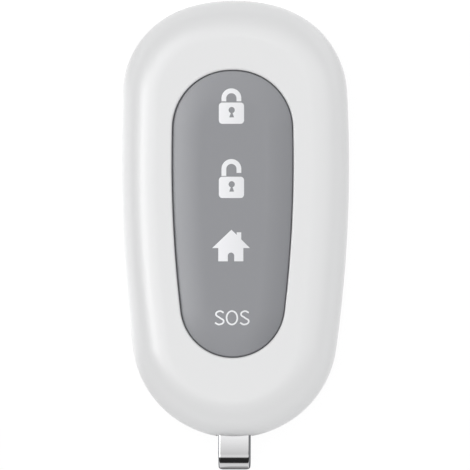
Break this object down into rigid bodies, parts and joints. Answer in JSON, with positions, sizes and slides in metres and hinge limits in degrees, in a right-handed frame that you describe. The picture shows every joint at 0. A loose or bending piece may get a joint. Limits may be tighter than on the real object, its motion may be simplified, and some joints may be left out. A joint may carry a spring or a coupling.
{
  "type": "alarm key fob",
  "caption": "Slim egg-shaped alarm key fob with a soft keypad of pressing zones in a white two-part case and a swinging metal loop for a key ring.",
  "frame": {"origin": "middle of the flat back, on the surface that the fob rests on", "axes": "+X across the fob to the right of someone who looks at the keys, +Y towards its head, away from the loop, +Z out of the key face"},
  "size_m": [0.032, 0.0657, 0.012],
  "materials": {
    "shell_white": "satin moulded plastic",
    "keypad_grey": "matt silicone",
    "switch_black": "matt",
    "spring_steel": "bright",
    "board_green": "solder mask",
    "chip_black": "matt",
    "chip_tan": "matt ceramic",
    "contact_brass": "plated",
    "led_lens": "clear resin",
    "cell_steel": "nickel plated",
    "cell_fill": "nickel plated",
    "screw_steel": "zinc plated",
    "plunger_white": "matt",
    "loop_chrome": "polished"
  },
  "bodies": {
    "case": {"front_shell": "shell_white", "rear_shell": "shell_white", "keypad_mat": "keypad_grey", "switch_bases": "switch_black", "switch_covers": "spring_steel", "switch_leads": "spring_steel", "circuit_board": "board_green", "radio_chip": "chip_black", "crystal": "spring_steel", "chip_capacitors": "chip_tan", "chip_resistors": "chip_black", "test_pads": "contact_brass", "antenna_trace": "contact_brass", "status_led": "led_lens", "battery_can": "cell_steel", "battery_gasket": "switch_black", "battery_cap": "cell_fill", "battery_holder": "switch_black", "battery_contact_positive": "contact_brass", "battery_contact_negative": "contact_brass", "case_screws": "screw_steel", "loop_pin": "screw_steel", "arm_dome": "spring_steel", "disarm_dome": "spring_steel", "home_dome": "spring_steel", "sos_dome": "spring_steel"},
    "arm_key": {"arm_key": "keypad_grey", "arm_plunger": "plunger_white"},
    "disarm_key": {"disarm_key": "keypad_grey", "disarm_plunger": "plunger_white"},
    "home_key": {"home_key": "keypad_grey", "home_plunger": "plunger_white"},
    "sos_key": {"sos_key": "keypad_grey", "sos_plunger": "plunger_white"},
    "key_loop": {"key_loop": "loop_chrome"}
  },
  "joints": [
    {"name": "arm_press", "type": "slide", "parent": "case", "child": "arm_key", "axis": [0, 0, -1], "range_m": [0, 0.00035], "stiffness_N_per_m": 4000, "deforming": ["arm_dome"]},
    {"name": "disarm_press", "type": "slide", "parent": "case", "child": "disarm_key", "axis": [0, 0, -1], "range_m": [0, 0.00035], "stiffness_N_per_m": 4000, "deforming": ["disarm_dome"]},
    {"name": "home_press", "type": "slide", "parent": "case", "child": "home_key", "axis": [0, 0, -1], "range_m": [0, 0.00035], "stiffness_N_per_m": 4000, "deforming": ["home_dome"]},
    {"name": "sos_press", "type": "slide", "parent": "case", "child": "sos_key", "axis": [0, 0, -1], "range_m": [0, 0.00035], "stiffness_N_per_m": 4000, "deforming": ["sos_dome"]},
    {"name": "loop_swing", "type": "hinge", "parent": "case", "child": "key_loop", "pos_m": [0, -0.02775, 0.00552], "axis": [1, 0, 0], "range_deg": [-6, 22]}
  ]
}
